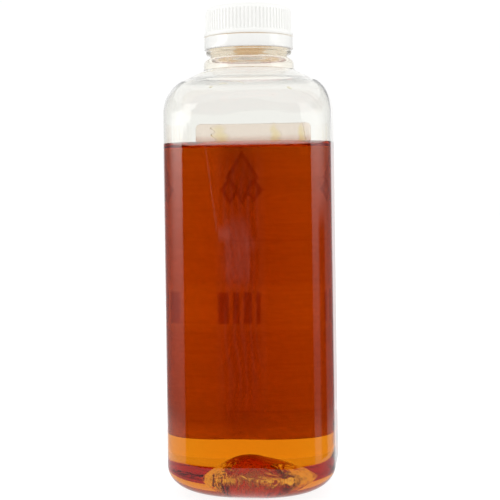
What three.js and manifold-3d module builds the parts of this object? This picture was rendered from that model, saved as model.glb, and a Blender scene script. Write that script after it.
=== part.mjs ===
// A square clear bottle of amber syrup with round shoulders, a ribbed white
// screw cap over its tamper ring, and a paper label on the back.
// Millimetres, +Z up. The origin is the middle of the base and -Y is the front.

import * as THREE from 'three';
import { mergeVertices } from 'three/addons/utils/BufferGeometryUtils.js';
import Module from 'manifold-3d';

// Body of the bottle
const bodyHalf = 38.1;
const cornerRadius = 28.3;
const wall = 0.7;
const heelHeight = 12.3;
const heelReach = 21.1;
const heelStart = -73.5;
const standingRadius = 21.5;
const pushUpHeight = 17;
const pushUpRadius = 19.8;
const roundRadius = 17;
const squareRadius = 34.6;
const turnSegments = 56;

// Shoulder, collar and neck
const shoulderStart = 171.2;
const shoulderReach = 10.4;
const shoulderRise = 15.9;
const shoulderSweep = 69;
const collarRadius = 21;
const collarFoot = 191.2;
const collarRim = 193.6;
const neckRadius = 17.8;
const neckStart = 196.8;
const boreRadius = 16.2;
const neckTop = 217.4;
const supportRingRadius = 19.8;
const supportRingBase = 198.4;
const supportRingTop = 200;

// Contents
const fillLevel = 155.7;
const gap = 0.3;

// Screw cap and tamper ring
const capTop = 220.3;
const capRadius = 19.8;
const capEdgeRadius = 3;
const capSkirtRadius = 20.55;
const capSkirtTop = 208.8;
const capBottom = 206.6;
const capLid = 1.8;
const capBore = 18.7;
const ribCount = 72;
const grooveDepth = 0.5;
const grooveWidth = 0.7;
const grooveTop = 218.2;
const bandTop = 206.3;
const bandBottom = 200.7;
const bandBevel = 0.5;

// Label
const labelBottom = 17.9;
const labelTop = 168.6;
const labelWidth = 61;
const labelShift = -3.2;
const labelThickness = 0.2;
const labelCorner = 3;
const labelSteps = 16;

const wasm = await Module();
wasm.setup();

const plastics = {
  clear: new THREE.MeshStandardMaterial({
    color: 0xecebe6, roughness: 0.06, metalness: 0, transparent: true, opacity: 0.3,
  }),
  syrup: new THREE.MeshStandardMaterial({
    color: 0xb4470c, roughness: 0.05, metalness: 0, transparent: true, opacity: 0.85,
  }),
  white: new THREE.MeshStandardMaterial({ color: 0xf5f5f2, roughness: 0.4, metalness: 0 }),
  paper: new THREE.MeshStandardMaterial({ color: 0xe5dacb, roughness: 0.75, metalness: 0 }),
};

// The flat part of each side, which a section keeps from its middle to where
// the corner arc starts. It fades out up the shoulder and down the heel, so the
// collar is round and the standing ring nearly so.
const bodyFlat = bodyHalf - cornerRadius;

function flatAt(half, z) {
  const shoulder = 1 - THREE.MathUtils.smoothstep(z, shoulderStart, collarFoot);
  const base = THREE.MathUtils.smoothstep(half, roundRadius, squareRadius);
  return bodyFlat * shoulder * base;
}

// Distance from the axis to a square with round corners, at one angle.
function sectionRadius(half, flat, angle) {
  const quarter = Math.PI / 2;
  const turn = angle - quarter * Math.round(angle / quarter);
  const along = Math.cos(turn);
  const across = Math.abs(Math.sin(turn));
  if (half * across <= flat * along) {
    return half / along;
  }
  const reach = Math.sqrt((half - flat) ** 2 - (flat * (along - across)) ** 2);
  return flat * (along + across) + reach;
}

// Points on part of an ellipse, its angles in degrees from the outward radius.
function arc(radius, z, reach, rise, from, to, steps) {
  const start = THREE.MathUtils.degToRad(from);
  const end = THREE.MathUtils.degToRad(to);
  return new THREE.EllipseCurve(radius, z, reach, rise, start, end, from > to).getPoints(steps);
}

function point(radius, z) {
  return new THREE.Vector2(radius, z);
}

// A body turned about +Z from its half section.
function turned(profile, segments) {
  return new THREE.LatheGeometry(profile, segments).rotateX(Math.PI / 2);
}

// Turns each round section of a lathed body into the bottle's square one.
function squared(geometry) {
  const place = geometry.attributes.position;
  for (let i = 0; i < place.count; i += 1) {
    const x = place.getX(i);
    const y = place.getY(i);
    const half = Math.hypot(x, y);
    const angle = Math.atan2(y, x);
    const reach = half < 1e-6 ? 0 : sectionRadius(half, flatAt(half, place.getZ(i)), angle);
    place.setX(i, reach * Math.cos(angle));
    place.setY(i, reach * Math.sin(angle));
  }
  return geometry;
}

// The push-up, standing ring and heel, from the axis outwards, at a depth in
// from the outer face. The heel is an elliptical arc, cut off a little outside
// the ring that the bottle stands on.
function basePoints(depth) {
  const centre = bodyHalf - heelReach;
  return [
    ...arc(0, 0, pushUpRadius + depth, pushUpHeight + depth, 90, 4, 6),
    point(pushUpRadius + depth, depth),
    point(standingRadius, depth),
    ...arc(centre, heelHeight, heelReach - depth, heelHeight - depth, heelStart, 0, 6),
  ];
}

// The shoulder and the collar under the neck, upwards, at a depth in from the
// outer face.
function shoulderPoints(depth) {
  const centre = bodyHalf - shoulderReach;
  const reach = shoulderReach - depth;
  const rise = shoulderRise - depth;
  const rimReach = collarRadius - neckRadius;
  return [
    ...arc(centre, shoulderStart, reach, rise, 0, shoulderSweep, 6),
    point(collarRadius - depth, collarFoot - depth / 2),
    ...arc(neckRadius - depth, collarRim, rimReach, neckStart - collarRim, 0, 90, 3),
  ];
}

function bottleGeometry() {
  const outside = [
    ...basePoints(0),
    ...shoulderPoints(0),
    point(neckRadius, supportRingBase),
    point(supportRingRadius, supportRingBase + 0.3),
    point(supportRingRadius, supportRingTop),
    point(neckRadius, supportRingTop),
    point(neckRadius, neckTop),
  ];
  const inside = [
    ...basePoints(wall),
    ...shoulderPoints(wall),
    point(boreRadius, neckStart),
    point(boreRadius, neckTop),
  ];
  return squared(turned([...outside, ...inside.reverse()], turnSegments));
}

function syrupGeometry() {
  const depth = wall + gap;
  const profile = [
    ...basePoints(depth),
    point(bodyHalf - depth, fillLevel),
    point(0, fillLevel),
  ];
  return squared(turned(profile, turnSegments));
}

function toSolid(geometry) {
  const bare = geometry.clone();
  bare.deleteAttribute('normal');
  bare.deleteAttribute('uv');
  const merged = mergeVertices(bare, 1e-4);
  return new wasm.Manifold(new wasm.Mesh({
    numProp: 3,
    vertProperties: Float32Array.from(merged.attributes.position.array),
    triVerts: Uint32Array.from(merged.index.array),
  }));
}

function toGeometry(solid) {
  const mesh = solid.getMesh();
  const geometry = new THREE.BufferGeometry();
  geometry.setAttribute('position', new THREE.BufferAttribute(mesh.vertProperties, 3));
  geometry.setIndex(new THREE.BufferAttribute(mesh.triVerts, 1));
  geometry.computeVertexNormals();
  return geometry;
}

// A shell with a flared skirt, cut by one groove between each pair of ribs.
function capGeometry() {
  const edge = capRadius - capEdgeRadius;
  const shell = turned([
    point(0, capTop),
    ...arc(edge, capTop - capEdgeRadius, capEdgeRadius, capEdgeRadius, 90, 0, 3),
    point(capRadius, capSkirtTop),
    point(capSkirtRadius, capSkirtTop - 0.6),
    point(capSkirtRadius, capBottom),
    point(capBore, capBottom),
    point(capBore, capTop - capLid),
    point(0, capTop - capLid),
  ].reverse(), ribCount);
  let solid = toSolid(shell);
  const grooveHeight = grooveTop - capSkirtTop;
  const cutter = new THREE.BoxGeometry(2, grooveWidth, grooveHeight);
  cutter.translate(capRadius - grooveDepth + 1, 0, capSkirtTop + grooveHeight / 2);
  for (let rib = 0; rib < ribCount; rib += 1) {
    const turn = 2 * Math.PI * (rib / ribCount);
    solid = solid.subtract(toSolid(cutter.clone().rotateZ(turn)));
  }
  return toGeometry(solid);
}

function bandGeometry() {
  return turned([
    point(capBore, bandBottom),
    point(capSkirtRadius - bandBevel, bandBottom),
    point(capSkirtRadius, bandBottom + bandBevel),
    point(capSkirtRadius, bandTop),
    point(capBore, bandTop),
    point(capBore, bandBottom),
  ], ribCount);
}

// A point a distance along the outside of the back, measured from its middle,
// at a depth out from the wall.
function backPoint(along, depth) {
  const bend = Math.max(0, Math.abs(along) - bodyFlat) / cornerRadius;
  const flat = Math.min(Math.abs(along), bodyFlat);
  const x = flat + (cornerRadius + depth) * Math.sin(bend);
  return point(Math.sign(along) * x, bodyFlat + (cornerRadius + depth) * Math.cos(bend));
}

// A sheet that follows the back of the bottle, its corners rounded.
function labelGeometry() {
  const outline = (depth) => Array.from({ length: labelSteps + 1 }, (unused, i) => {
    const along = labelShift + labelWidth * (i / labelSteps - 0.5);
    return backPoint(along, depth);
  });
  const edge = [...outline(gap + labelThickness), ...outline(gap).reverse()];
  const sheet = new THREE.ExtrudeGeometry(new THREE.Shape(edge), {
    depth: labelTop - labelBottom, bevelEnabled: false,
  }).translate(0, 0, labelBottom);
  const blank = new THREE.Shape();
  const left = backPoint(labelShift - labelWidth / 2, gap).x + labelCorner - 1;
  const right = backPoint(labelShift + labelWidth / 2, gap).x - labelCorner + 1;
  const low = labelBottom + labelCorner;
  const high = labelTop - labelCorner;
  blank.moveTo(left, labelBottom);
  blank.absarc(right, low, labelCorner, -Math.PI / 2, 0, false);
  blank.absarc(right, high, labelCorner, 0, Math.PI / 2, false);
  blank.absarc(left, high, labelCorner, Math.PI / 2, Math.PI, false);
  blank.absarc(left, low, labelCorner, Math.PI, Math.PI * 1.5, false);
  const die = new THREE.ExtrudeGeometry(blank, {
    depth: 3 * bodyHalf, bevelEnabled: false, curveSegments: 4,
  }).rotateX(Math.PI / 2).translate(0, 3 * bodyHalf, 0);
  return toGeometry(toSolid(sheet).intersect(toSolid(die)));
}

const bottle = new THREE.Mesh(bottleGeometry(), plastics.clear);
bottle.name = 'bottle';

const syrup = new THREE.Mesh(syrupGeometry(), plastics.syrup);
syrup.name = 'syrup';

const cap = new THREE.Mesh(capGeometry(), plastics.white);
cap.name = 'cap';

const tamperBand = new THREE.Mesh(bandGeometry(), plastics.white.clone());
tamperBand.name = 'tamper_band';

const label = new THREE.Mesh(labelGeometry(), plastics.paper);
label.name = 'label';

const object = new THREE.Group();
object.add(bottle, syrup, cap, tamperBand, label);

export default object;
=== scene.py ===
import math

import bmesh
import bpy
from mathutils import Matrix, Vector, noise


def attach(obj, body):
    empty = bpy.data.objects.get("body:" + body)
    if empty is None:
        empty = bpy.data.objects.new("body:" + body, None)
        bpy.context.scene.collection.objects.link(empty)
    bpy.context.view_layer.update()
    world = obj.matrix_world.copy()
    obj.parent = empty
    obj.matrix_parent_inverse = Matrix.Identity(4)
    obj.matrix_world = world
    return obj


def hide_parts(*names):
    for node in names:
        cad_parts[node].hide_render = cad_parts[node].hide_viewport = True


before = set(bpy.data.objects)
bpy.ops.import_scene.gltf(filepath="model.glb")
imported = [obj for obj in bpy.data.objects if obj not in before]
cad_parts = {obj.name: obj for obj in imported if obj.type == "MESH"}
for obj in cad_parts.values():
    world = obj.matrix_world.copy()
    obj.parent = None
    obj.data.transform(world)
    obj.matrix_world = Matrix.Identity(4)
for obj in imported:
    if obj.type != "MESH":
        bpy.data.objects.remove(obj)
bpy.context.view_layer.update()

MM = 0.001


# Camera
# The photograph was taken level, from a little under the syrup line and half a
# metre away, with the bottle turned a few degrees, so its right side shows as a
# thin strip.
FRAME_PX = 500
PX_ACROSS_AXIS = 0.4625 * MM
AXIS_DISTANCE = 523 * MM
EYE_HEIGHT = 143.6 * MM
BOTTLE_TURN = math.radians(7.6)
PICTURE_ROLL = math.radians(0.8)
HORIZON_PX = (250.4, 173.9)
SENSOR = 36.0

lens_px = AXIS_DISTANCE / PX_ACROSS_AXIS
camera_data = bpy.data.cameras.new("camera")
camera_data.sensor_width = SENSOR
camera_data.lens = lens_px / FRAME_PX * SENSOR
camera_data.shift_x = (FRAME_PX / 2 - HORIZON_PX[0]) / FRAME_PX
camera_data.shift_y = (HORIZON_PX[1] - FRAME_PX / 2) / FRAME_PX
camera = bpy.data.objects.new("camera", camera_data)
bpy.context.collection.objects.link(camera)
camera.location = (
    AXIS_DISTANCE * math.sin(BOTTLE_TURN),
    -AXIS_DISTANCE * math.cos(BOTTLE_TURN),
    EYE_HEIGHT,
)
looking = Matrix.Rotation(BOTTLE_TURN, 4, "Z") @ Matrix.Rotation(math.pi / 2, 4, "X")
camera.rotation_euler = (looking @ Matrix.Rotation(-PICTURE_ROLL, 4, "Z")).to_euler()
bpy.context.scene.camera = camera


# Clear bottle
# One blown PET shell: a moulded neck with its support ring, a thin stretched
# body with round corners, and a push-up base that stands on a ring. Below the
# syrup line the wet wall takes on the look of what it touches.
BODY_HALF = 38.1
CORNER_RADIUS = 28.3
BODY_FLAT = BODY_HALF - CORNER_RADIUS
WALL = 0.7
HEEL_HEIGHT = 12.3
HEEL_REACH = 21.1
HEEL_START = -73.5
STANDING_RADIUS = 21.5
PUSH_UP_HEIGHT = 17
PUSH_UP_RADIUS = 19.8
ROUND_RADIUS = 17
SQUARE_RADIUS = 34.6
SHOULDER_START = 171.2
SHOULDER_REACH = 10.4
SHOULDER_RISE = 15.9
SHOULDER_SWEEP = 69
COLLAR_RADIUS = 21
COLLAR_FOOT = 191.2
COLLAR_RIM = 193.6
COLLAR_FILLET = 0.8
COLLAR_FILLET_RISE = 0.5
COLLAR_LEAD_OUT = 1.2
COLLAR_LEAD_DOWN = 0.55
NECK_RADIUS = 17.8
NECK_START = 196.8
BORE_RADIUS = 16.2
NECK_TOP = 217.4
SUPPORT_RING_RADIUS = 19.8
SUPPORT_RING_BASE = 198.4
SUPPORT_RING_TOP = 200
SUPPORT_RING_ROUND = 0.4
NECK_ROUND = 0.3
TURN_STEPS = 224
FILL_LEVEL = 155.2
MENISCUS_RISE = 2.6


def step(value, low, high):
    """Smooth change from 0 at low to 1 at high."""
    t = min(1.0, max(0.0, (value - low) / (high - low)))
    return t * t * (3 - 2 * t)


def flat_at(half, z):
    """Half the flat stretch of a side, which fades out up the shoulder and down the heel."""
    shoulder = 1 - step(z, SHOULDER_START, COLLAR_FOOT)
    base = step(half, ROUND_RADIUS, SQUARE_RADIUS)
    return BODY_FLAT * shoulder * base


def section_radius(half, flat, angle):
    """Distance from the axis to a square with round corners, at one angle."""
    quarter = math.pi / 2
    turn = angle - quarter * round(angle / quarter)
    along, across = math.cos(turn), abs(math.sin(turn))
    if half * across <= flat * along:
        return half / along
    return flat * (along + across) + math.sqrt((half - flat) ** 2 - (flat * (along - across)) ** 2)


def arc(radius, z, reach, rise, start, end, steps):
    """Points on part of an ellipse, its angles in degrees from the outward radius."""
    angles = [math.radians(start + (end - start) * i / steps) for i in range(steps + 1)]
    return [(radius + reach * math.cos(a), z + rise * math.sin(a)) for a in angles]


def turned(name, profile, steps, place):
    """A mesh turned about the axis from (half, z) points; place gives each point in millimetres."""
    rows = []
    points = []
    for half, z in profile:
        if half < 1e-6:
            rows.append([len(points)] * steps)
            points.append(Vector((0, 0, z)) * MM)
            continue
        rows.append(list(range(len(points), len(points) + steps)))
        points += [Vector(place(half, z, 2 * math.pi * i / steps)) * MM for i in range(steps)]
    faces = []
    for low, high in zip(rows, rows[1:]):
        for i in range(steps):
            j = (i + 1) % steps
            corners = []
            for k in (low[i], low[j], high[j], high[i]):
                if k not in corners:
                    corners.append(k)
            if len(corners) > 2:
                faces.append(corners)
    mesh = bpy.data.meshes.new(name)
    mesh.from_pydata(points, [], faces)
    mesh.polygons.foreach_set("use_smooth", [True] * len(mesh.polygons))
    piece = bpy.data.objects.new(name, mesh)
    bpy.context.collection.objects.link(piece)
    return piece


def squared(half, z, angle):
    """A point of the bottle's square section."""
    reach = section_radius(half, flat_at(half, z), angle)
    return reach * math.cos(angle), reach * math.sin(angle), z


def base_points(depth):
    """Push-up, standing ring and heel from the axis outwards, at a depth in from the outer face."""
    reach, rise = HEEL_REACH - depth, HEEL_HEIGHT - depth
    return (
        arc(0, 0, PUSH_UP_RADIUS + depth, PUSH_UP_HEIGHT + depth, 90, 4, 24)
        + [(PUSH_UP_RADIUS + depth, depth)]
        + [(STANDING_RADIUS, depth)]
        + arc(BODY_HALF - HEEL_REACH, HEEL_HEIGHT, reach, rise, HEEL_START, 0, 30)
    )


def shoulder_points(depth):
    """Shoulder and collar upwards, at a depth in from the outer face."""
    reach, rise = SHOULDER_REACH - depth, SHOULDER_RISE - depth
    rim_reach = COLLAR_RADIUS - NECK_RADIUS
    return (
        arc(BODY_HALF - SHOULDER_REACH, SHOULDER_START, reach, rise, 0, SHOULDER_SWEEP, 24)
        + [(COLLAR_RADIUS + COLLAR_LEAD_OUT - depth, COLLAR_FOOT - COLLAR_LEAD_DOWN - depth / 2)]
        + arc(
            COLLAR_RADIUS + COLLAR_FILLET - depth, COLLAR_FOOT + COLLAR_FILLET_RISE,
            COLLAR_FILLET, COLLAR_FILLET, 250, 180, 4,
        )
        + arc(NECK_RADIUS - depth, COLLAR_RIM, rim_reach, NECK_START - COLLAR_RIM, 0, 90, 12)
    )


def body_rows(low, high, depth):
    """Even rows up the straight part of the body."""
    count = max(2, round((high - low) / 6))
    return [(BODY_HALF - depth, low + (high - low) * i / count) for i in range(1, count)]


outside = (
    base_points(0)
    + body_rows(HEEL_HEIGHT, SHOULDER_START, 0)
    + shoulder_points(0)
    + [(NECK_RADIUS, SUPPORT_RING_BASE - NECK_ROUND)]
    + [(SUPPORT_RING_RADIUS - SUPPORT_RING_ROUND, SUPPORT_RING_BASE + 0.1)]
    + arc(
        SUPPORT_RING_RADIUS - SUPPORT_RING_ROUND, SUPPORT_RING_TOP - SUPPORT_RING_ROUND,
        SUPPORT_RING_ROUND, SUPPORT_RING_ROUND, -20, 90, 5,
    )
    + [(NECK_RADIUS + NECK_ROUND, SUPPORT_RING_TOP)]
    + [(NECK_RADIUS, SUPPORT_RING_TOP + NECK_ROUND)]
    + [(NECK_RADIUS, NECK_TOP - NECK_ROUND)]
    + [(NECK_RADIUS - NECK_ROUND, NECK_TOP)]
)
inside = (
    base_points(WALL)
    + body_rows(HEEL_HEIGHT, FILL_LEVEL + MENISCUS_RISE, WALL)
    + [(BODY_HALF - WALL, FILL_LEVEL + MENISCUS_RISE)]
    + body_rows(FILL_LEVEL + MENISCUS_RISE, SHOULDER_START, WALL)
    + shoulder_points(WALL)
    + [(BORE_RADIUS, NECK_START + 0.6)]
    + [(BORE_RADIUS, NECK_TOP - NECK_ROUND)]
    + [(BORE_RADIUS + NECK_ROUND, NECK_TOP)]
)
shell = turned("bottle_shell", outside + inside[::-1], TURN_STEPS, squared)
outer_faces = (len(outside) - 1) * TURN_STEPS


def linear(colour):
    """sRGB hex turned to a linear colour."""
    parts = [int(colour[i:i + 2], 16) / 255 for i in (0, 2, 4)]
    return [p / 12.92 if p <= 0.04045 else ((p + 0.055) / 1.055) ** 2.4 for p in parts] + [1.0]


def material(name, **settings):
    """A new material, its Principled shader and its tree, with values set on the shader's own sockets."""
    made = bpy.data.materials.new(name)
    made.use_nodes = True
    shader = made.node_tree.nodes["Principled BSDF"]
    for socket, value in settings.items():
        shader.inputs[socket.replace("_", " ")].default_value = value
    return made, shader, made.node_tree


def add(tree, kind, links=(), **settings):
    """Adds a node with its settings; links are (input of this node, socket that feeds it)."""
    node = tree.nodes.new(kind)
    for key, value in settings.items():
        if key[0].isupper() or key[0].isdigit():
            name = int(key) if key.isdigit() else key.replace("_", " ")
            node.inputs[name].default_value = value
        else:
            setattr(node, key, value)
    for name, source in links:
        tree.links.new(source, node.inputs[name])
    return node


# Blown PET is glass clear, with a trace of warmth where the wall is seen edge on. Stretching
# leaves long shallow waves up the wall, which bend its reflections a little.
PET_IOR = 1.5
WALL_WAVE = 16 * MM
WALL_WAVE_DEPTH = 0.05 * MM
WALL_WAVE_STRETCH = 0.3
pet, pet_shader, pet_tree = material(
    "blown_pet", Base_Color=linear("F9F9F6"), Roughness=0.0, IOR=PET_IOR, Transmission_Weight=1.0,
)
pet_place = add(pet_tree, "ShaderNodeTexCoord")
pet_stretch = add(
    pet_tree, "ShaderNodeMapping", [("Vector", pet_place.outputs["Object"])],
    Scale=(1, 1, WALL_WAVE_STRETCH),
)
pet_wave = add(
    pet_tree, "ShaderNodeTexNoise", [("Vector", pet_stretch.outputs[0])],
    Scale=1 / WALL_WAVE, Detail=1.0,
)
pet_bump = add(
    pet_tree, "ShaderNodeBump", [("Height", pet_wave.outputs["Fac"])],
    Strength=1.0, Distance=WALL_WAVE_DEPTH,
)
pet_tree.links.new(pet_bump.outputs[0], pet_shader.inputs["Normal"])
# PET and sugar syrup bend light alike, so a wall that the syrup wets can't be seen at all.
wet_pet, _, _ = material(
    "wet_pet", Base_Color=linear("FFFFFF"), Roughness=0.0, IOR=1.0, Transmission_Weight=1.0,
)
# The thick middle of the base hardly stretches as it is blown, so it stays hazy and uneven,
# and fine radial knurls run round the ring it stands on. They break up the light there.
HAZE_RADIUS = 26
HAZE_FOOT = 4 * MM
HAZE_TOP = 11 * MM
HAZE_ROUGHNESS_FOOT = 0.24
HAZE_ROUGHNESS_TOP = 0.17
KNURL_COUNT = 120
KNURL_DEPTH = 0.16 * MM
KNURL_FOOT = 2 * MM
KNURL_TOP = 6 * MM
KNURL_STRENGTH = 0.8
FLOW_SIZE = 4.5 * MM
FLOW_DEPTH = 1.2 * MM
FLOW_STRENGTH = 0.8
hazy_pet, hazy_shader, hazy_tree = material(
    "unstretched_pet", Base_Color=linear("F0ECE4"), IOR=PET_IOR, Transmission_Weight=1.0,
)
hazy_place = add(hazy_tree, "ShaderNodeTexCoord")
hazy_height = add(hazy_tree, "ShaderNodeSeparateXYZ", [(0, hazy_place.outputs["Object"])])
hazy_rough = add(
    hazy_tree, "ShaderNodeMapRange", [("Value", hazy_height.outputs["Z"])],
    From_Min=HAZE_FOOT, From_Max=HAZE_TOP, To_Min=HAZE_ROUGHNESS_FOOT, To_Max=HAZE_ROUGHNESS_TOP,
)
hazy_tree.links.new(hazy_rough.outputs[0], hazy_shader.inputs["Roughness"])
hazy_polar = add(
    hazy_tree, "ShaderNodeTexGradient", [("Vector", hazy_place.outputs["Object"])],
    gradient_type="RADIAL",
)
hazy_phase = add(hazy_tree, "ShaderNodeMath", [(0, hazy_polar.outputs["Fac"])], operation="MULTIPLY")
hazy_phase.inputs[1].default_value = 2 * math.pi * KNURL_COUNT
hazy_ridge = add(hazy_tree, "ShaderNodeMath", [(0, hazy_phase.outputs[0])], operation="SINE")
hazy_fade = add(
    hazy_tree, "ShaderNodeMapRange", [("Value", hazy_height.outputs["Z"])],
    From_Min=KNURL_FOOT, From_Max=KNURL_TOP, To_Min=KNURL_STRENGTH, To_Max=0.0,
)
hazy_flow = add(
    hazy_tree, "ShaderNodeTexNoise", [("Vector", hazy_place.outputs["Object"])],
    Scale=1 / FLOW_SIZE, Detail=3.0, Distortion=1.0,
)
hazy_uneven = add(
    hazy_tree, "ShaderNodeBump", [("Height", hazy_flow.outputs["Fac"])],
    Strength=FLOW_STRENGTH, Distance=FLOW_DEPTH,
)
hazy_bump = add(
    hazy_tree, "ShaderNodeBump",
    [
        ("Height", hazy_ridge.outputs[0]),
        ("Strength", hazy_fade.outputs[0]),
        ("Normal", hazy_uneven.outputs[0]),
    ],
    Distance=KNURL_DEPTH,
)
hazy_tree.links.new(hazy_bump.outputs[0], hazy_shader.inputs["Normal"])
# The neck is moulded thick before the body is blown, so its reflections are softer. A faint painted glow
# makes the neck look a little milky and lighter.
moulded_pet, _, _ = material(
    "moulded_pet", Base_Color=linear("FAF8F2"), Roughness=0.04, IOR=PET_IOR, Transmission_Weight=1.0,
    Emission_Color=linear("FFFAF0"), Emission_Strength=0.022,
)
for finish in (pet, wet_pet, hazy_pet, moulded_pet):
    shell.data.materials.append(finish)
WET, HAZY, MOULDED = 1, 2, 3
wet_top = (FILL_LEVEL + MENISCUS_RISE) * MM
for face in shell.data.polygons:
    wet = max(shell.data.vertices[k].co.z for k in face.vertices) <= wet_top + 1e-7
    half = Vector(face.center[:2]).length / MM
    if wet and face.index >= outer_faces:
        face.material_index = WET
    elif half < HAZE_RADIUS and face.center.z < (PUSH_UP_HEIGHT + 1) * MM:
        face.material_index = HAZY
    elif face.center.z > COLLAR_FOOT * MM:
        face.material_index = MOULDED
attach(shell, "root")
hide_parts("bottle")


# Syrup
# Clear amber sugar syrup, still and level. It wets the wall, so its edge climbs
# in a small meniscus, and it soaks up blue and green light far more than red.
WETTING_DEPTH = 0.3
MENISCUS_LENGTH = 0.8
MENISCUS_REACH = 10
MENISCUS_STEPS = 20
SURFACE_RINGS = 6
SYRUP_IOR = 1.49

contact = FILL_LEVEL + MENISCUS_RISE
wetted = base_points(WETTING_DEPTH) + body_rows(HEEL_HEIGHT, contact, WETTING_DEPTH)
wetted.append((BODY_HALF - WETTING_DEPTH, contact))
inner_half = BODY_HALF - WALL
surface = []
for i in range(MENISCUS_STEPS + 1):
    away = MENISCUS_REACH * (i / MENISCUS_STEPS) ** 2
    surface.append((inner_half - away, FILL_LEVEL + MENISCUS_RISE * math.exp(-away / MENISCUS_LENGTH)))
surface += [(inner_half * k / SURFACE_RINGS, FILL_LEVEL) for k in (4, 3, 2, 1)]
surface.append((0, FILL_LEVEL))
syrup = turned("syrup_fill", wetted + surface, TURN_STEPS, squared)
wetted_faces = len(wetted) * TURN_STEPS
free_surface = syrup.data.attributes.new("free_surface", "FLOAT", "FACE")
free_surface.data.foreach_set(
    "value", [0.0 if face.index < wetted_faces else 1.0 for face in syrup.data.polygons],
)

# Sugar syrup is glass clear and amber, and darkens fast with its depth. Its volume needs one
# material, so it bends light only at its free surface, and not again where it wets the wall.
amber, amber_shader, amber_tree = material(
    "sugar_syrup", Base_Color=linear("FFFFFF"), Roughness=0.0, IOR=SYRUP_IOR, Transmission_Weight=1.0,
)
ABSORPTION_PER_METRE = (3.9, 21.0, 72.0)
strongest = max(ABSORPTION_PER_METRE)
soak = add(amber_tree, "ShaderNodeVolumeAbsorption")
soak.inputs["Density"].default_value = strongest
soak.inputs["Color"].default_value = [1 - part / strongest for part in ABSORPTION_PER_METRE] + [1.0]
amber_tree.links.new(soak.outputs[0], amber_tree.nodes["Material Output"].inputs["Volume"])
at_surface = add(amber_tree, "ShaderNodeAttribute", attribute_name="free_surface")
bending = add(
    amber_tree, "ShaderNodeMath", [(0, at_surface.outputs["Fac"])], operation="MULTIPLY_ADD",
)
bending.inputs[1].default_value = SYRUP_IOR - 1
bending.inputs[2].default_value = 1.0
amber_tree.links.new(bending.outputs[0], amber_shader.inputs["IOR"])
syrup.data.materials.append(amber)
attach(syrup, "root")
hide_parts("syrup")


# Screw cap
# Moulded white polyethylene with 72 grip ribs over a smooth flared skirt, spun
# down onto the neck.
CAP_TOP = 220.3
CAP_RADIUS = 19.8
CAP_EDGE_RADIUS = 3
CAP_SKIRT_RADIUS = 20.55
CAP_SKIRT_TOP = 208.8
CAP_BOTTOM = 206.6
CAP_LID = 1.8
CAP_BORE = 18.7
RIB_COUNT = 72
RIB_STEPS = 12
GROOVE_DEPTH = 0.5
GROOVE_SHARE = 0.4
GROOVE_FLANK = 0.15
GROOVE_TOP = 218.2
GROOVE_TOP_RUN = 0.5
GROOVE_FOOT_RUN = 0.35
GROOVE_REACH = 2.4
RIB_ROW_RISES = (6, 3, 0.6, 0.35, 0.2, 0)
SKIRT_MARGIN = 0.2
SKIRT_FLARE_DROP = 0.9
SKIRT_ROUND = 0.5
LIP_ROUND = 0.15


def ribbed(half, z, angle):
    """A point of the cap, pushed in where a groove runs between two ribs."""
    if half > CAP_RADIUS - GROOVE_REACH and z > CAP_SKIRT_TOP - SKIRT_MARGIN:
        phase = abs((angle * RIB_COUNT / (2 * math.pi)) % 1 - 0.5) * 2
        groove = 1 - step(phase, GROOVE_SHARE - GROOVE_FLANK, GROOVE_SHARE + GROOVE_FLANK)
        foot_end = step(z, CAP_SKIRT_TOP, CAP_SKIRT_TOP + GROOVE_FOOT_RUN)
        top_end = 1 - step(z, GROOVE_TOP - GROOVE_TOP_RUN, GROOVE_TOP)
        half -= GROOVE_DEPTH * groove * (foot_end * top_end)
    return half * math.cos(angle), half * math.sin(angle), z


edge = CAP_RADIUS - CAP_EDGE_RADIUS
edge_arc = arc(edge, CAP_TOP - CAP_EDGE_RADIUS, CAP_EDGE_RADIUS, CAP_EDGE_RADIUS, 90, 0, 14)
rib_rows = [(CAP_RADIUS, CAP_SKIRT_TOP + rise) for rise in RIB_ROW_RISES]
cap_profile = (
    [(0, CAP_TOP), (4, CAP_TOP), (9, CAP_TOP), (14, CAP_TOP)]
    + edge_arc
    + rib_rows
    + arc(
        CAP_SKIRT_RADIUS - SKIRT_ROUND, CAP_SKIRT_TOP - SKIRT_FLARE_DROP,
        SKIRT_ROUND, SKIRT_ROUND, 70, 0, 4,
    )
    + [(CAP_SKIRT_RADIUS, CAP_BOTTOM + LIP_ROUND), (CAP_SKIRT_RADIUS - LIP_ROUND, CAP_BOTTOM)]
    + [(CAP_BORE, CAP_BOTTOM), (CAP_BORE, CAP_TOP - CAP_LID), (0, CAP_TOP - CAP_LID)]
)
cap = turned("cap_shell", cap_profile[::-1], RIB_COUNT * RIB_STEPS, ribbed)

# Moulded polyethylene is satin and slightly waxy, with a very fine sparked skin that blurs
# its highlights.
SKIN_GRAIN = 0.25 * MM
SKIN_DEPTH = 0.02 * MM
SKIN_STRENGTH = 0.12
POLYETHYLENE_IOR = 1.5
polyethylene, poly_shader, poly_tree = material(
    "moulded_polyethylene", Base_Color=linear("F6F6F3"), Roughness=0.42, IOR=POLYETHYLENE_IOR,
)
poly_place = add(poly_tree, "ShaderNodeTexCoord")
poly_skin = add(
    poly_tree, "ShaderNodeTexNoise", [("Vector", poly_place.outputs["Object"])],
    Scale=1 / SKIN_GRAIN, Detail=3.0,
)
poly_bump = add(
    poly_tree, "ShaderNodeBump", [("Height", poly_skin.outputs["Fac"])],
    Strength=SKIN_STRENGTH, Distance=SKIN_DEPTH,
)
poly_tree.links.new(poly_bump.outputs[0], poly_shader.inputs["Normal"])
cap.data.materials.append(polyethylene)
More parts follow.
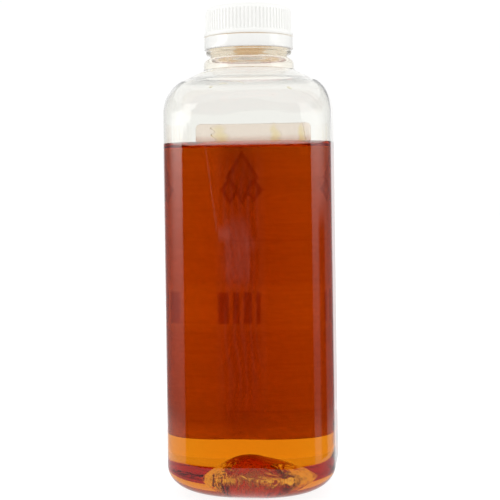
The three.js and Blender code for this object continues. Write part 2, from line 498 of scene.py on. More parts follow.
# Painted light: the inside of the cap and ring is a tan glow that stands in for light through the white
# plastic and light tinted by the amber syrup below. It is paler towards the sides, a painted highlight.
TAN_HALF = 9.2 * MM
PALE_HALF = 10.6 * MM
BORE_MARGIN = 0.01
painted_glow_polyethylene, lit_shader, lit_tree = material(
    "polyethylene_painted_glow", Base_Color=linear("5A4A38"), Roughness=0.5, IOR=POLYETHYLENE_IOR,
    Emission_Strength=0.8,
)
lit_place = add(lit_tree, "ShaderNodeTexCoord")
lit_axes = add(lit_tree, "ShaderNodeSeparateXYZ", [(0, lit_place.outputs["Object"])])
lit_side = add(lit_tree, "ShaderNodeMath", [(0, lit_axes.outputs["X"])], operation="ABSOLUTE")
lit_edge = add(
    lit_tree, "ShaderNodeMapRange", [("Value", lit_side.outputs[0])],
    From_Min=TAN_HALF, From_Max=PALE_HALF,
)
lit_colour = add(lit_tree, "ShaderNodeMix", [("Factor", lit_edge.outputs[0])], data_type="RGBA")
lit_colour.inputs["A"].default_value = linear("D6B588")
lit_colour.inputs["B"].default_value = linear("EDE4D2")
lit_tree.links.new(lit_colour.outputs["Result"], lit_shader.inputs["Emission Color"])
cap.data.materials.append(painted_glow_polyethylene)
PAINTED_GLOW = 1
# The cap's inner faces take the painted tan glow.
for face in cap.data.polygons:
    in_bore = Vector(face.center[:2]).length < (CAP_BORE + BORE_MARGIN) * MM
    if in_bore and face.center.z < (CAP_TOP - 1) * MM:
        face.material_index = PAINTED_GLOW
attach(cap, "root")
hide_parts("cap")


# Tamper ring
# Moulded in one with the cap and scored off it, it stays below the slit when
# the cap is first turned.
BAND_TOP = 206.3
BAND_BOTTOM = 200.7
BAND_STEPS = 288
BAND_TOP_MARGIN = 0.1


def round_point(half, z, angle):
    """A point of a plainly turned piece."""
    return half * math.cos(angle), half * math.sin(angle), z


band_profile = (
    [(CAP_BORE, BAND_BOTTOM)]
    + arc(CAP_SKIRT_RADIUS - SKIRT_ROUND, BAND_BOTTOM + SKIRT_ROUND, SKIRT_ROUND, SKIRT_ROUND, -90, 0, 5)
    + arc(CAP_SKIRT_RADIUS - LIP_ROUND, BAND_TOP - LIP_ROUND, LIP_ROUND, LIP_ROUND, 0, 90, 3)
    + [(CAP_BORE, BAND_TOP), (CAP_BORE, BAND_BOTTOM)]
)
band = turned("tamper_ring", band_profile, BAND_STEPS, round_point)
# The ring's part of the mould is polished, so the same plastic shines more there.
smooth_polyethylene, _, _ = material(
    "polished_polyethylene", Base_Color=linear("F3F3F0"), Roughness=0.16, IOR=POLYETHYLENE_IOR,
)
band.data.materials.append(smooth_polyethylene)
band.data.materials.append(painted_glow_polyethylene)
# The ring's inner and top faces take the painted tan glow.
for face in band.data.polygons:
    in_bore = Vector(face.center[:2]).length < (CAP_BORE + BORE_MARGIN) * MM
    if in_bore or face.center.z > (BAND_TOP - BAND_TOP_MARGIN) * MM:
        face.material_index = PAINTED_GLOW
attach(band, "root")
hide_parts("tamper_band")


# Syrup left on the glassy wall above the level
# Runs of syrup that have drained down the back wall, and a few small drops
# round the shoulder. Each is a thin lens of the same syrup, a little dried.
DRIP_DEEPEST = 1.5
DRIP_LIFT = 0.04
DRIP_TAPER = 0.3
DRIP_TOP_SHARPNESS = 6
DRIP_TOP_THINNING = 5
DRIP_TOP_SHARE = 0.35
DRIP_LEAN_SPAN = 6
DRIP_WANDER = 1.1
DRIP_WANDER_PER_MM = 0.4
DRIP_UNEVENNESS = 0.7
DRIP_UNEVEN_PER_MM = 0.55
MERGE_DISTANCE = 0.002 * MM
# Each run's name, place across the back, foot, top, width and lean.
DRIPS = (
    ("run_left", -18.2, 157.0, 168.6, 9.2, -0.45),
    ("run_right", 8.6, 157.4, 169.0, 5.2, -0.4),
    ("run_far", 22.4, 157.6, 168.4, 4.2, -0.25),
)
DRIP_ROWS = 28
DRIP_COLUMNS = 14


def wall_point(across, z, depth):
    """A point in from the inner wall of the back, a distance round it from its middle."""
    inner = CORNER_RADIUS - WALL - depth
    turn = max(0.0, abs(across) - BODY_FLAT) / (CORNER_RADIUS - WALL)
    flat = min(abs(across), BODY_FLAT)
    return math.copysign(flat + inner * math.sin(turn), across), BODY_FLAT + inner * math.cos(turn), z


def thin_lens(name, layers):
    """A closed thin piece from two layers of rows of points, joined round their edges."""
    rows, columns = len(layers[0]), len(layers[0][0])
    points = [Vector(place) * MM for layer in layers for row in layer for place in row]
    back = rows * columns
    faces = []
    for row in range(rows - 1):
        for column in range(columns - 1):
            a = row * columns + column
            faces.append((a, a + columns, a + columns + 1, a + 1))
            faces.append((back + a, back + a + 1, back + a + columns + 1, back + a + columns))
    for column in range(columns - 1):
        a, b = column, (rows - 1) * columns + column
        faces.append((a, a + 1, back + a + 1, back + a))
        faces.append((b + 1, b, back + b, back + b + 1))
    mesh = bpy.data.meshes.new(name)
    mesh.from_pydata(points, [], faces)
    cleaned = bmesh.new()
    cleaned.from_mesh(mesh)
    bmesh.ops.remove_doubles(cleaned, verts=cleaned.verts, dist=MERGE_DISTANCE)
    cleaned.to_mesh(mesh)
    cleaned.free()
    mesh.polygons.foreach_set("use_smooth", [True] * len(mesh.polygons))
    made = bpy.data.objects.new(name, mesh)
    bpy.context.collection.objects.link(made)
    return made


def drip(name, across, low, high, width, lean):
    """A run of syrup on the back wall, widest near its foot, its edges wandering."""
    layers = []
    for layer in range(2):
        rows = []
        for row in range(DRIP_ROWS + 1):
            up = row / DRIP_ROWS
            z = low + (high - low) * up
            half = width / 2 * (1 - DRIP_TAPER * up) * min(1.0, DRIP_TOP_SHARPNESS * (1 - up)) ** 0.5
            wander = DRIP_WANDER * noise.noise(Vector((across, z * DRIP_WANDER_PER_MM, 0)))
            centre = across + lean * DRIP_LEAN_SPAN * up + wander
            half *= 1 + DRIP_UNEVENNESS * noise.noise(Vector((across, z * DRIP_UNEVEN_PER_MM, 4)))
            places = []
            for column in range(DRIP_COLUMNS + 1):
                side = 2 * column / DRIP_COLUMNS - 1
                swell = (1 - side ** 2) * min(1.0, DRIP_TOP_THINNING * (1 - up)) ** 0.5
                deepness = DRIP_TOP_SHARE + (1 - DRIP_TOP_SHARE) * (1 - up)
                depth = DRIP_LIFT + layer * DRIP_DEEPEST * deepness * swell
                places.append(wall_point(centre + half * side, z, depth))
            rows.append(places)
        layers.append(rows)
    return thin_lens(name, layers)


# Each smear's name, width, depth, and path of angles round the bottle and heights.
SMEARS = (
    ("drop_left", 0.9, 0.5, ((249.0, 181.3), (251.5, 181.7))),
    ("drop_next", 0.6, 0.4, ((255.5, 182.6), (258.5, 182.9), (262.0, 182.7))),
    ("smear_middle", 0.35, 0.25, ((263.5, 183.6), (268.0, 183.9), (272.5, 183.0), (275.5, 182.0))),
    ("drop_right", 1.0, 0.5, ((303.5, 180.9), (306.5, 180.2))),
    ("spot_collar_left", 1.1, 0.6, ((231.0, 189.4), (234.0, 189.7))),
    (
        "film_shoulder", 0.9, 0.5,
        ((201.0, 184.8), (206.0, 187.0), (213.0, 188.2), (221.0, 189.1), (229.0, 189.5)),
    ),
    ("speck_middle", 0.35, 0.3, ((275.0, 171.0), (276.0, 170.8))),
    ("speck_right", 0.35, 0.3, ((292.0, 177.6), (293.0, 177.3))),
)
SMEAR_STEPS = 8
SMEAR_HALF_COLUMNS = 3
SMEAR_SPREAD = 1.4
SMEAR_UNEVENNESS = 0.4
SMEAR_UNEVEN_PER_DEGREE = 0.2
SMEAR_UNEVEN_PER_MM = 0.8


def shoulder_half(z):
    """Half the width of the inside of the body or shoulder at a height."""
    line = [(BODY_HALF - WALL, FILL_LEVEL)] + shoulder_points(WALL)
    for (half_a, z_a), (half_b, z_b) in zip(line, line[1:]):
        if z_a <= z <= z_b:
            return half_a + (half_b - half_a) * (z - z_a) / (z_b - z_a)
    return line[-1][0]


def smear(name, width, deepest, path):
    """A drop or streak on the inner wall along a path of angles in degrees and heights."""
    places = []
    for (angle_a, z_a), (angle_b, z_b) in zip(path, path[1:]):
        for i in range(SMEAR_STEPS):
            part = i / SMEAR_STEPS
            places.append((angle_a + (angle_b - angle_a) * part, z_a + (z_b - z_a) * part))
    places.append(path[-1])
    layers = []
    for layer in range(2):
        rows = []
        for k, (angle, z) in enumerate(places):
            before, after = places[max(0, k - 1)], places[min(len(places) - 1, k + 1)]
            round_wall = math.radians(after[0] - before[0]) * shoulder_half(z)
            ahead = Vector((round_wall, after[1] - before[1])).normalized()
            ends = 1 - (2 * k / (len(places) - 1) - 1) ** 4
            spot = Vector((angle * SMEAR_UNEVEN_PER_DEGREE, z * SMEAR_UNEVEN_PER_MM, width))
            thick = 1 - SMEAR_UNEVENNESS + SMEAR_UNEVENNESS * noise.noise(spot)
            row = []
            for column in range(2 * SMEAR_HALF_COLUMNS + 1):
                side = column / SMEAR_HALF_COLUMNS - 1
                out = side * width / 2 * math.sqrt(ends) * thick * SMEAR_SPREAD
                turn = math.radians(angle) - out * ahead.y / shoulder_half(z)
                height = z + out * ahead.x
                depth = DRIP_LIFT + layer * deepest * (1 - side ** 2) * math.sqrt(ends)
                half = shoulder_half(height) - depth
                row.append(squared(half, height, turn))
            rows.append(row)
        layers.append(rows)
    return thin_lens(name, layers)


# Half-dried syrup is strong, so a thin run of it is already straw coloured. It lies on a wall
# that bends light as it does, so its edges bend light only a little.
DRIED_PER_METRE = (15.0, 60.0, 360.0)
DRIED_IOR = 1.18
dried, _, dried_tree = material(
    "half_dried_syrup", Base_Color=linear("FFFFFF"), Roughness=0.0, IOR=DRIED_IOR, Transmission_Weight=1.0,
)
dried_strongest = max(DRIED_PER_METRE)
dried_soak = add(dried_tree, "ShaderNodeVolumeAbsorption", Density=dried_strongest)
dried_soak.inputs["Color"].default_value = [1 - part / dried_strongest for part in DRIED_PER_METRE] + [1.0]
dried_tree.links.new(dried_soak.outputs[0], dried_tree.nodes["Material Output"].inputs["Volume"])
for name, across, low, high, width, lean in DRIPS:
    run = drip(name, across, low, high, width, lean)
    run.data.materials.append(dried)
    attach(run, "root")
for name, width, deepest, path in SMEARS:
    streak = smear(name, width, deepest, path)
    streak.data.materials.append(dried)
    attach(streak, "root")


# Label
# A printed paper label stuck on the back. Its plain side is seen through the
# syrup, with the print showing faintly through the paper.
LABEL_BOTTOM = 17.9
LABEL_TOP = 168.6
LABEL_WIDTH = 61
LABEL_SHIFT = -3.2
LABEL_THICKNESS = 0.15
LABEL_GAP = 0.05
LABEL_CORNER = 3


def label_reach(across, depth):
    """A point on the back of the bottle, a distance round it from its middle."""
    turn = max(0.0, abs(across) - BODY_FLAT) / CORNER_RADIUS
    flat = min(abs(across), BODY_FLAT)
    x = flat + (CORNER_RADIUS + depth) * math.sin(turn)
    y = BODY_FLAT + (CORNER_RADIUS + depth) * math.cos(turn)
    return math.copysign(x, across), y


label_half = LABEL_WIDTH / 2
COLUMNS = 110
ROWS = 260
columns = [label_half * (2 * i / COLUMNS - 1) for i in range(COLUMNS + 1)]
heights = [LABEL_BOTTOM + (LABEL_TOP - LABEL_BOTTOM) * i / ROWS for i in range(ROWS + 1)]


def rounded(across, z):
    """Moves a point of the sheet in where a corner is cut round."""
    low = LABEL_BOTTOM + LABEL_CORNER
    high = LABEL_TOP - LABEL_CORNER
    beyond = max(low - z, z - high, 0.0)
    limit = label_half - LABEL_CORNER + math.sqrt(max(0.0, LABEL_CORNER ** 2 - beyond ** 2))
    return across * limit / label_half


label_points = []
for depth in (LABEL_GAP, LABEL_GAP + LABEL_THICKNESS):
    for z in heights:
        for across in columns:
            x, y = label_reach(LABEL_SHIFT + rounded(across, z), depth)
            label_points.append(Vector((x, y, z)) * MM)
label_faces = []
wide = COLUMNS + 1
back = wide * (ROWS + 1)
for row in range(ROWS):
    for column in range(COLUMNS):
        a = row * wide + column
        label_faces.append((a, a + 1, a + 1 + wide, a + wide))
        label_faces.append((back + a, back + a + wide, back + a + 1 + wide, back + a + 1))
for column in range(COLUMNS):
    a, b = column, ROWS * wide + column
    label_faces.append((a + 1, a, back + a, back + a + 1))
    label_faces.append((b, b + 1, back + b + 1, back + b))
for row in range(ROWS):
    a, b = row * wide, row * wide + COLUMNS
    label_faces.append((a, a + wide, back + a + wide, back + a))
    label_faces.append((b + wide, b, back + b, back + b + wide))
label_mesh = bpy.data.meshes.new("label_sheet")
label_mesh.from_pydata(label_points, [], label_faces)
label_mesh.polygons.foreach_set("use_smooth", [True] * len(label_mesh.polygons))


# The print is plain: three sugar crystals, a pale panel with four blocks in it, and two short
# thin rules. Places are measured from the label's middle line and from the floor.
CRYSTALS = ((-8.5, 136, 4.5), (-2.5, 142, 8), (3, 136, 4))
CRYSTAL_SLOPE = 0.62
CRYSTAL_RIM = 2
CRYSTAL_HEART = 0.6
BLOCKS = ((-12, 5), (-6, 3), (-0.5, 4), (4.5, 2))
BLOCKS_HEIGHT = 80
BLOCK_HALF_HEIGHT = 7.5
PANEL = (0, 80, 28, 11)
RULES = (112, 31)
RULE_HALF = 11
RULE_HALF_HEIGHT = 0.4
RULE_INK = 0.4
EDGE_SOFTNESS = 0.4


def inside_by(distance):
    """1 inside a shape and 0 outside it, from the distance to its edge, with a soft edge."""
    return step(distance, -EDGE_SOFTNESS, EDGE_SOFTNESS)


def inked(across, z):
    """How much ink the outside of the label has at a point measured from its middle line."""
    ink = 0.0
    for centre, height, half in CRYSTALS:
        depth = half - abs(across - centre) - abs(z - height) * CRYSTAL_SLOPE
        ink = max(ink, inside_by(depth) * (1 - CRYSTAL_HEART * inside_by(depth - CRYSTAL_RIM)))
    for rule in RULES:
        line = RULE_INK * inside_by(RULE_HALF_HEIGHT - abs(z - rule))
        ink = max(ink, line * inside_by(RULE_HALF - abs(across)))
    for centre, width in BLOCKS:
        block = inside_by(width / 2 - abs(across - centre))
        ink = max(ink, block * inside_by(BLOCK_HALF_HEIGHT - abs(z - BLOCKS_HEIGHT)))
    return ink


def paled(across, z):
    """How far the paper is left bare in its pale panel."""
    middle, height, half_width, half_height = PANEL
    return inside_by(half_width - abs(across - middle)) * inside_by(half_height - abs(z - height))


ink_values, pale_values = [], []
for side in range(2):
    for z in heights:
        for across in columns:
            ink_values.append(inked(rounded(across, z), z))
            pale_values.append(paled(rounded(across, z), z))
for name, values in (("ink", ink_values), ("bare_panel", pale_values)):
    layer = label_mesh.attributes.new(name, "FLOAT", "POINT")
    layer.data.foreach_set("value", values)
PRINTED = 1
for face in label_mesh.polygons:
    if all(k >= back for k in face.vertices):
        face.material_index = PRINTED
label = bpy.data.objects.new("label_sheet", label_mesh)
bpy.context.collection.objects.link(label)
# Uncoated paper is matt and clouded by its fibres. Light comes through it from behind, most above the print
# and in the flecked strip at its foot. The share it lets through is also painted larger towards the sides
# and up the label, painted light standing in for the stronger side light that reaches the label's edges and
# top through the syrup.
PAPER_IOR = 1.45
FIBRE_SIZE = 1.2 * MM
CLOUD_SIZE = 9 * MM
MOTTLE_LOW = 0.75
MOTTLE_HIGH = 1.25
FLECK_SIZE = 2.2 * MM
FLECK_DARK = 0.42
FLECK_LIGHT = 0.62
FLECK_LEAST = 0.25
INK_SHADE = 0.38
PRINT_TOP = 163
PRINT_FADE = 8
BARE_PASSES = 0.92
PANEL_PASSES = 0.07
FOOT_HEIGHT = 8
FOOT_PASSES = 0.3
# Painted light: these set how the passing share grows away from a line left of the middle and up the label.
LIGHT_CENTRE = -6 * MM
LIGHT_NEAR = 3 * MM
LIGHT_FAR = 27 * MM
NEAR_PASSES = 0.05
FAR_PASSES = 0.64
LOW_LIGHT = 20 * MM
HIGH_LIGHT = 160 * MM
LOW_LIGHT_SHARE = 0.52
paper, paper_shader, paper_tree = material("label_paper", Roughness=0.8, IOR=PAPER_IOR)
paper_place = add(paper_tree, "ShaderNodeTexCoord")
paper_axes = add(paper_tree, "ShaderNodeSeparateXYZ", [(0, paper_place.outputs["Object"])])
fibres = add(
    paper_tree, "ShaderNodeTexNoise", [("Vector", paper_place.outputs["Object"])],
    Scale=1 / FIBRE_SIZE, Detail=4.0, Roughness=0.6,
)
clouds = add(
    paper_tree, "ShaderNodeTexNoise", [("Vector", paper_place.outputs["Object"])],
    Scale=1 / CLOUD_SIZE, Detail=3.0, Roughness=0.55, Distortion=0.6,
)
mottle = add(
    paper_tree, "ShaderNodeMath", [(0, fibres.outputs["Fac"]), (1, clouds.outputs["Fac"])],
    operation="ADD",
)
mottled = add(
    paper_tree, "ShaderNodeMapRange", [("Value", mottle.outputs[0])],
    From_Min=MOTTLE_LOW, From_Max=MOTTLE_HIGH, To_Min=0.0, To_Max=1.0,
)
paper_tone = add(paper_tree, "ShaderNodeMix", [("Factor", mottled.outputs[0])], data_type="RGBA")
paper_tone.inputs["A"].default_value = linear("DACDBC")
paper_tone.inputs["B"].default_value = linear("EFE5D8")
ink_layer = add(paper_tree, "ShaderNodeAttribute", attribute_name="ink")
ink_shade = add(paper_tree, "ShaderNodeMath", [(0, ink_layer.outputs["Fac"])], operation="MULTIPLY")
ink_shade.inputs[1].default_value = INK_SHADE
shaded = add(
    paper_tree, "ShaderNodeMix", [("Factor", ink_shade.outputs[0]), ("A", paper_tone.outputs["Result"])],
    data_type="RGBA",
)
shaded.inputs["B"].default_value = linear("8A5A3A")
paper_tree.links.new(shaded.outputs["Result"], paper_shader.inputs["Base Color"])
bare = add(
    paper_tree, "ShaderNodeMapRange", [("Value", paper_axes.outputs["Z"])],
    From_Min=(PRINT_TOP - PRINT_FADE) * MM, From_Max=PRINT_TOP * MM, To_Min=0.0, To_Max=BARE_PASSES,
)
# Painted light: more passes towards the sides and higher up, for light that falls on the label from the
# sides.
off_centre = add(paper_tree, "ShaderNodeMath", [(0, paper_axes.outputs["X"])], operation="ADD")
off_centre.inputs[1].default_value = -LIGHT_CENTRE
side_share = add(paper_tree, "ShaderNodeMath", [(0, off_centre.outputs[0])], operation="ABSOLUTE")
side_light = add(
    paper_tree, "ShaderNodeMapRange", [("Value", side_share.outputs[0])],
    interpolation_type="SMOOTHSTEP",
    From_Min=LIGHT_NEAR, From_Max=LIGHT_FAR, To_Min=NEAR_PASSES, To_Max=FAR_PASSES,
)
up_share = add(
    paper_tree, "ShaderNodeMapRange", [("Value", paper_axes.outputs["Z"])],
    From_Min=LOW_LIGHT, From_Max=HIGH_LIGHT, To_Min=LOW_LIGHT_SHARE, To_Max=1.0,
)
side_through = add(
    paper_tree, "ShaderNodeMath", [(0, side_light.outputs[0]), (1, up_share.outputs[0])],
    operation="MULTIPLY",
)
panel_layer = add(paper_tree, "ShaderNodeAttribute", attribute_name="bare_panel")
panel_light = add(
    paper_tree, "ShaderNodeMath", [(0, panel_layer.outputs["Fac"]), (2, side_through.outputs[0])],
    operation="MULTIPLY_ADD",
)
panel_light.inputs[1].default_value = PANEL_PASSES
foot = add(
    paper_tree, "ShaderNodeMapRange", [("Value", paper_axes.outputs["Z"])],
    From_Min=LABEL_BOTTOM * MM, From_Max=(LABEL_BOTTOM + FOOT_HEIGHT) * MM,
    To_Min=FOOT_PASSES, To_Max=0.0,
)
flecks = add(
    paper_tree, "ShaderNodeTexNoise", [("Vector", paper_place.outputs["Object"])],
    Scale=1 / FLECK_SIZE, Detail=2.0, Roughness=0.7, Distortion=1.5,
)
flecked = add(
    paper_tree, "ShaderNodeMapRange", [("Value", flecks.outputs["Fac"])],
    From_Min=FLECK_DARK, From_Max=FLECK_LIGHT, To_Min=FLECK_LEAST, To_Max=1.0,
)
foot_light = add(
    paper_tree, "ShaderNodeMath",
    [(0, foot.outputs[0]), (1, flecked.outputs[0]), (2, panel_light.outputs[0])], operation="MULTIPLY_ADD",
)
passing = add(
    paper_tree, "ShaderNodeMath", [(0, foot_light.outputs[0]), (1, bare.outputs[0])], operation="MAXIMUM",
)
pass_tint = add(paper_tree, "ShaderNodeMix", [("Factor", bare.outputs[0])], data_type="RGBA")
pass_tint.inputs["A"].default_value = linear("FFB29A")
pass_tint.inputs["B"].default_value = linear("FFFAF4")
through = add(paper_tree, "ShaderNodeBsdfTranslucent", [("Color", pass_tint.outputs["Result"])])
sheet = add(
    paper_tree, "ShaderNodeMixShader",
    [(0, passing.outputs[0]), (1, paper_shader.outputs[0]), (2, through.outputs[0])],
)
paper_tree.links.new(sheet.outputs[0], paper_tree.nodes["Material Output"].inputs["Surface"])
label.data.materials.append(paper)

# Outside, the same paper carries amber-brown ink on a cream ground and is a little smoother.
# Most light passes through it, tinted where there is ink.
PAPER_PASSES = 0.88
printed, printed_shader, printed_tree = material("printed_paper", Roughness=0.55, IOR=PAPER_IOR)
printed_ink = add(printed_tree, "ShaderNodeAttribute", attribute_name="ink")
printed_bare = add(printed_tree, "ShaderNodeAttribute", attribute_name="bare_panel")
ground = add(printed_tree, "ShaderNodeMix", [("Factor", printed_bare.outputs["Fac"])], data_type="RGBA")
ground.inputs["A"].default_value = linear("EFE0C4")
ground.inputs["B"].default_value = linear("FBF6EE")
print_coat = add(
    printed_tree, "ShaderNodeMix", [("Factor", printed_ink.outputs["Fac"]), ("A", ground.outputs["Result"])],
    data_type="RGBA",
)
print_coat.inputs["B"].default_value = linear("6B2F12")
printed_tree.links.new(print_coat.outputs["Result"], printed_shader.inputs["Base Color"])
see_through = add(printed_tree, "ShaderNodeMix", [("Factor", printed_ink.outputs["Fac"])], data_type="RGBA")
see_through.inputs["A"].default_value = linear("FFFCF8")
see_through.inputs["B"].default_value = linear("C58354")
behind_print = add(printed_tree, "ShaderNodeBsdfTranslucent", [("Color", see_through.outputs["Result"])])
printed_sheet = add(
    printed_tree, "ShaderNodeMixShader",
    [(1, printed_shader.outputs[0]), (2, behind_print.outputs[0])], Fac=PAPER_PASSES,
)
printed_tree.links.new(printed_sheet.outputs[0], printed_tree.nodes["Material Output"].inputs["Surface"])
label.data.materials.append(printed)
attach(label, "root")
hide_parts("label")


# Floor and light
# A pale table that glows a little, like the lit white sweep of a product studio, under an
# even white surround. The room's walls, ceiling and lamps show only in reflections.
FLOOR_SIZE = 6.0
# Painted shadow: the table glows less in a round patch under the bottle.
COVERED_RADIUS = 17
COVERED_IN = 6
COVERED_OUT = 8
COVERED_GLOW = 0.24
TABLE_GLOW = 0.88
SURROUND_STRENGTH = 1.02
floor_mesh = bpy.data.meshes.new("floor")
reach = FLOOR_SIZE / 2
floor_mesh.from_pydata(
    [(-reach, -reach, 0), (reach, -reach, 0), (reach, reach, 0), (-reach, reach, 0)], [], [(0, 1, 2, 3)],
)
floor = bpy.data.objects.new("floor", floor_mesh)
bpy.context.collection.objects.link(floor)
# The table top is matt. Its glow is cut down in the patch under the bottle's middle, a painted shadow.
table_top, table_shader, table_tree = material(
    "pale_table", Base_Color=linear("787878"), Roughness=0.9, Emission_Color=linear("FFFFFF"),
)
table_place = add(table_tree, "ShaderNodeTexCoord")
table_reach = add(
    table_tree, "ShaderNodeVectorMath", [(0, table_place.outputs["Object"])], operation="LENGTH",
)
table_glow = add(
    table_tree, "ShaderNodeMapRange", [("Value", table_reach.outputs["Value"])],
    From_Min=(COVERED_RADIUS - COVERED_IN) * MM, From_Max=(COVERED_RADIUS + COVERED_OUT) * MM,
    To_Min=COVERED_GLOW, To_Max=TABLE_GLOW,
)
table_tree.links.new(table_glow.outputs[0], table_shader.inputs["Emission Strength"])
floor.data.materials.append(table_top)
floor.visible_glossy = False

surround = bpy.data.worlds.new("surround")
bpy.context.scene.world = surround
surround.use_nodes = True
surround.node_tree.nodes["Background"].inputs["Color"].default_value = (1, 1, 1, 1)
surround.node_tree.nodes["Background"].inputs["Strength"].default_value = SURROUND_STRENGTH
surround.cycles_visibility.glossy = False


# The room stands on a circle round the bottle. Its parts are placed by degrees round from
# straight behind the bottle, left being below 0, and by heights in metres.
STUDIO_RADIUS = 0.9
STUDIO_LOW = -0.45
STUDIO_HIGH = 0.62
STUDIO_ROWS = 90
LEFT_PANEL_EDGE = 127
RIGHT_PANEL_EDGE = 122
FRONT_COLUMNS_PER_DEGREE = 6
SWEEP_GLOW = 0.75
SWEEP_EDGE = (14, 34)
WALL_GLOW = 0.24
SPILL_GLOW = 0.3
SPILL_RISE = 9.5
SPILL_TOP = 0.19
SPILL_ON_LEFT = 1.75
SPILL_FROM_LOW, SPILL_FROM_HIGH = 52, 86
SPILL_TO_LOW, SPILL_TO_HIGH = 88, 108
HIGH_WALL = (0.2, 0.32)
TABLE_EDGE_GLOW = 0.3
TABLE_EDGE = (-0.17, -0.13)
FRONT_EDGE_LEFT, FRONT_EDGE_RIGHT, FRONT_SOFTNESS = 96, 101, 2
FRONT_STEP, FRONT_STEP_EDGE = 22, (0.18, 0.225)
FRONT_SLOPE, FRONT_SLOPE_EDGE = 8, (0.21, 0.4)
STAND_START, STAND_END, STAND_TOP = (62, 66), (80, 86), (0.07, 0.12)
STAND_DARKNESS = 0.95
LAMP_EDGE_GLOW = 0.9
LAMP_AZIMUTH, LAMP_HEIGHT, LAMP_LEAN = -144, 0.179, 180
LAMP_SOFTNESS, LAMP_FOOT = (0.25, 0.9), (0.05, 0.09)
GLEAM_GLOW = 0.28
GLEAM_START, GLEAM_END = (163.2, 163.6), (165.0, 165.3)
GLEAM_FOOT, GLEAM_TOP = (0.004, 0.03), (0.075, 0.1)
GLEAM_CONTRAST, GLEAM_STRIPE, GLEAM_STRIPE_RISE = 0.6, 0.45, 0.035
VEIL_GLOW = 0.13
VEIL_START, VEIL_END = (156, 163), (169, 174)
VEIL_FOOT, VEIL_TOP = (-0.2, -0.05), (0.14, 0.19)
VEIL_STRIPE, VEIL_WAVE, VEIL_WAVE_PER_METRE = 0.62, 0.35, 45
VEIL_SHARPNESS = 4
DISC_SIDES = 48


def between(value, start, end):
    """1 between two soft edges and 0 beyond them; each edge is a pair of places."""
    return step(value, *start) * (1 - step(value, *end))


def wall_glow(azimuth, height):
    """Brightness of the sweep behind the bottle and of the walls beside it."""
    side = abs(azimuth)
    left = azimuth < 0
    sweep = SWEEP_GLOW * (1 - step(side, *SWEEP_EDGE))
    spill = SPILL_GLOW * math.exp(SPILL_RISE * min(height, SPILL_TOP)) * (SPILL_ON_LEFT if left else 1.0)
    higher = step(height, *HIGH_WALL)
    spill_from = SPILL_FROM_LOW + (SPILL_FROM_HIGH - SPILL_FROM_LOW) * higher
    spill_to = SPILL_TO_LOW + (SPILL_TO_HIGH - SPILL_TO_LOW) * higher
    spill *= step(side, spill_from, spill_to)
    table = TABLE_EDGE_GLOW * (1 - step(height, *TABLE_EDGE))
    glow = sweep + WALL_GLOW + table + spill
    if side > 90:
        front = FRONT_EDGE_LEFT if left else FRONT_EDGE_RIGHT
        front += FRONT_STEP * step(height, *FRONT_STEP_EDGE) + FRONT_SLOPE * step(height, *FRONT_SLOPE_EDGE)
        glow *= 1 - step(side, front - FRONT_SOFTNESS, front)
    if not left:
        stand = between(side, STAND_START, STAND_END) * (1 - step(height, *STAND_TOP))
        glow *= 1 - STAND_DARKNESS * stand
    return glow


def lamp_glow(azimuth, height):
    """Brightness of a slanting lamp edge, a striped gleam and a wavy veil on the front's left."""
    off_edge = abs(azimuth - LAMP_AZIMUTH + LAMP_LEAN * (LAMP_HEIGHT - height))
    edge = LAMP_EDGE_GLOW * (1 - step(off_edge, *LAMP_SOFTNESS)) * step(height, *LAMP_FOOT)
    stripes = math.sin(2 * math.pi * (azimuth / GLEAM_STRIPE + height / GLEAM_STRIPE_RISE))
    gleam = GLEAM_GLOW * between(-azimuth, GLEAM_START, GLEAM_END)
    gleam *= between(height, GLEAM_FOOT, GLEAM_TOP) * (1 + GLEAM_CONTRAST * stripes)
    wave = VEIL_WAVE * math.sin(height * VEIL_WAVE_PER_METRE)
    waves = 0.5 + 0.5 * math.sin(2 * math.pi * (azimuth / VEIL_STRIPE + wave))
    veil = VEIL_GLOW * between(-azimuth, VEIL_START, VEIL_END)
    veil *= between(height, VEIL_FOOT, VEIL_TOP) * waves ** VEIL_SHARPNESS
    return edge + gleam + veil


def mirrored_sheet(name, mesh, glow=None):
    """Makes a mesh a glowing sheet that shows only in reflections; with no glow the mesh holds it."""
    lit = bpy.data.materials.new(name)
    lit.use_nodes = True
    lit.node_tree.nodes.clear()
    shine = add(lit.node_tree, "ShaderNodeEmission")
    if glow is None:
        level = add(lit.node_tree, "ShaderNodeAttribute", attribute_name="glow")
        lit.node_tree.links.new(level.outputs["Fac"], shine.inputs["Strength"])
    else:
        shine.inputs["Strength"].default_value = glow
    add(lit.node_tree, "ShaderNodeOutputMaterial", [("Surface", shine.outputs[0])])
    mesh.materials.append(lit)
    made = bpy.data.objects.new(name, mesh)
    bpy.context.collection.objects.link(made)
    made.visible_camera = False
    made.visible_diffuse = False
    made.visible_transmission = False
    made.visible_shadow = False


def studio_band(name, start, end):
    """A strip of the room's walls between two azimuths."""
    across = round(abs(end - start) * (FRONT_COLUMNS_PER_DEGREE if end < -LEFT_PANEL_EDGE else 1))
    points, glows, faces = [], [], []
    for row in range(STUDIO_ROWS + 1):
        height = STUDIO_LOW + (STUDIO_HIGH - STUDIO_LOW) * row / STUDIO_ROWS
        for column in range(across + 1):
            azimuth = start + (end - start) * column / across
            turn = math.radians(azimuth) - BOTTLE_TURN
            points.append((STUDIO_RADIUS * math.sin(turn), STUDIO_RADIUS * math.cos(turn), height))
            glows.append(wall_glow(azimuth, height) + lamp_glow(azimuth, height))
    for row in range(STUDIO_ROWS):
        for column in range(across):
            k = row * (across + 1) + column
            faces.append((k, k + 1, k + across + 2, k + across + 1))
    mesh = bpy.data.meshes.new(name)
    mesh.from_pydata(points, [], faces)
    glow = mesh.attributes.new("glow", "FLOAT", "POINT")
    glow.data.foreach_set("value", glows)
    mirrored_sheet(name, mesh)


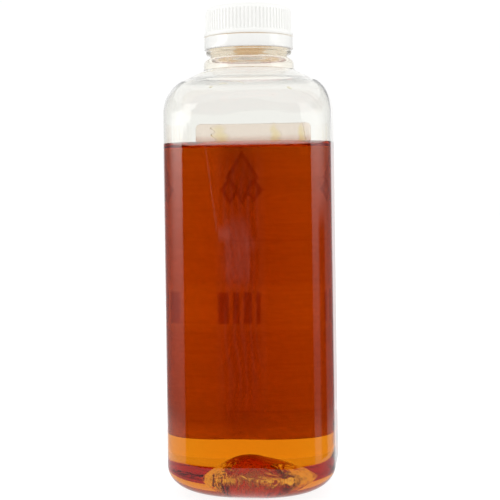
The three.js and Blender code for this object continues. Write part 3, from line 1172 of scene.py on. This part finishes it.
def studio_disc(name, radius, height, glow, behind=0.0):
    """A round glow level over the bottle or just under the table top, its sizes in metres."""
    turns = [2 * math.pi * a / DISC_SIDES for a in range(DISC_SIDES)]
    rim = [(radius * math.cos(a), behind + radius * math.sin(a), height) for a in turns]
    mesh = bpy.data.meshes.new(name)
    mesh.from_pydata(rim, [], [tuple(range(DISC_SIDES))])
    mirrored_sheet(name, mesh, glow)


studio_disc("studio_ceiling", STUDIO_RADIUS, STUDIO_HIGH, glow=0.9)
studio_disc("table_shine", radius=0.105, height=-0.0005, glow=0.75)
studio_disc("table_behind", radius=0.085, height=-0.0003, glow=0.98, behind=0.1)
studio_band("studio_left", -LEFT_PANEL_EDGE, 0)
studio_band("studio_right", 0, RIGHT_PANEL_EDGE)
studio_band("studio_front", start=-176, end=-140)

SOFTBOX_DISTANCE = 1.1
SOFTBOX_AIM_HEIGHT = 0.12


def softbox(name, azimuth, size, height, brightness):
    """A soft lamp beside the bottle that lights it but isn't mirrored in it."""
    lamp = bpy.data.lights.new(name, "AREA")
    lamp.shape = "RECTANGLE"
    lamp.size, lamp.size_y = size
    lamp.energy = brightness * math.pi * size[0] * size[1]
    made = bpy.data.objects.new(name, lamp)
    bpy.context.collection.objects.link(made)
    turn = math.radians(azimuth) - BOTTLE_TURN
    made.location = (SOFTBOX_DISTANCE * math.sin(turn), SOFTBOX_DISTANCE * math.cos(turn), height)
    aim = Vector((0, 0, SOFTBOX_AIM_HEIGHT)) - made.location
    made.rotation_euler = aim.to_track_quat("-Z", "Y").to_euler()
    made.visible_camera = False
    made.visible_glossy = False
    made.visible_transmission = False


softbox("left_softbox", azimuth=-95, size=(1.3, 0.5), height=0.42, brightness=0.8)
softbox("right_softbox", azimuth=95, size=(1.3, 0.5), height=0.42, brightness=0.8)

render_settings = bpy.context.scene
render_settings.view_settings.view_transform = "Standard"
render_settings.cycles.max_bounces = 32
render_settings.cycles.transmission_bounces = 32
render_settings.cycles.glossy_bounces = 16
render_settings.cycles.diffuse_bounces = 6
render_settings.cycles.transparent_max_bounces = 32
